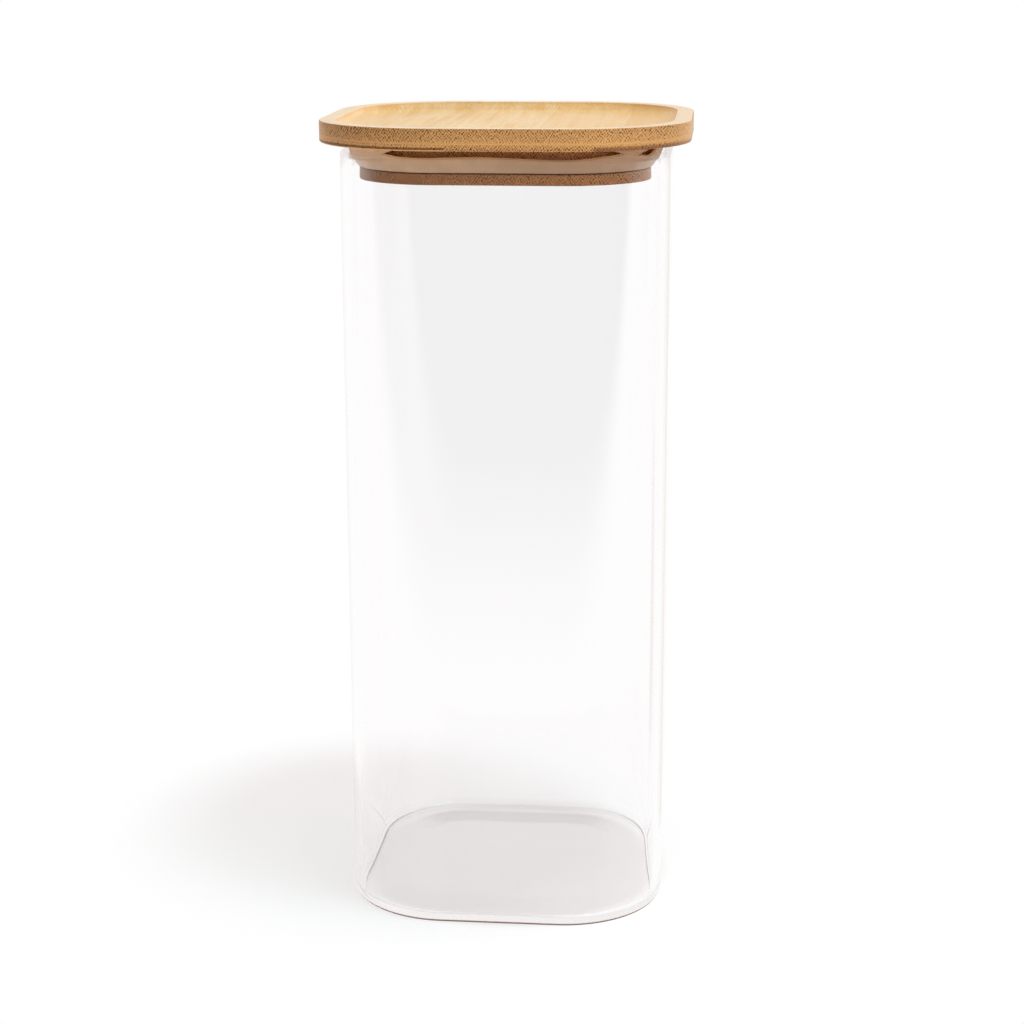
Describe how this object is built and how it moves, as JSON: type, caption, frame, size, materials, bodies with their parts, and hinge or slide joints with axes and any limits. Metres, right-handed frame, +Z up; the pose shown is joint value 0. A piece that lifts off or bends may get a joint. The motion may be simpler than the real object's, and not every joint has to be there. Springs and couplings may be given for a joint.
{
  "type": "glass storage jar",
  "caption": "Tall square glass storage jar with rounded corners and a flat bamboo lid, whose plug and flared silicone seal press into the mouth.",
  "frame": {"origin": "centre of the glass foot, on the surface that the jar stands on", "axes": "+Z up along the jar's middle, towards the lid; +X and +Y square to two flat sides; the front faces -Y"},
  "size_m": [0.12, 0.12, 0.2656],
  "materials": {
    "glass": "clear, fire-polished",
    "bamboo_board": "sanded and oiled, satin",
    "bamboo_plug": "sanded, satin",
    "silicone": "translucent, satin"
  },
  "bodies": {
    "jar": {"glass_body": "glass"},
    "lid": {"lid_board": "bamboo_board", "lid_plug": "bamboo_plug", "silicone_seal": "silicone"}
  },
  "joints": [
    {"name": "lid_lift", "type": "slide", "parent": "jar", "child": "lid", "axis": [0, 0, 1], "range_m": [0, 0.12]}
  ]
}
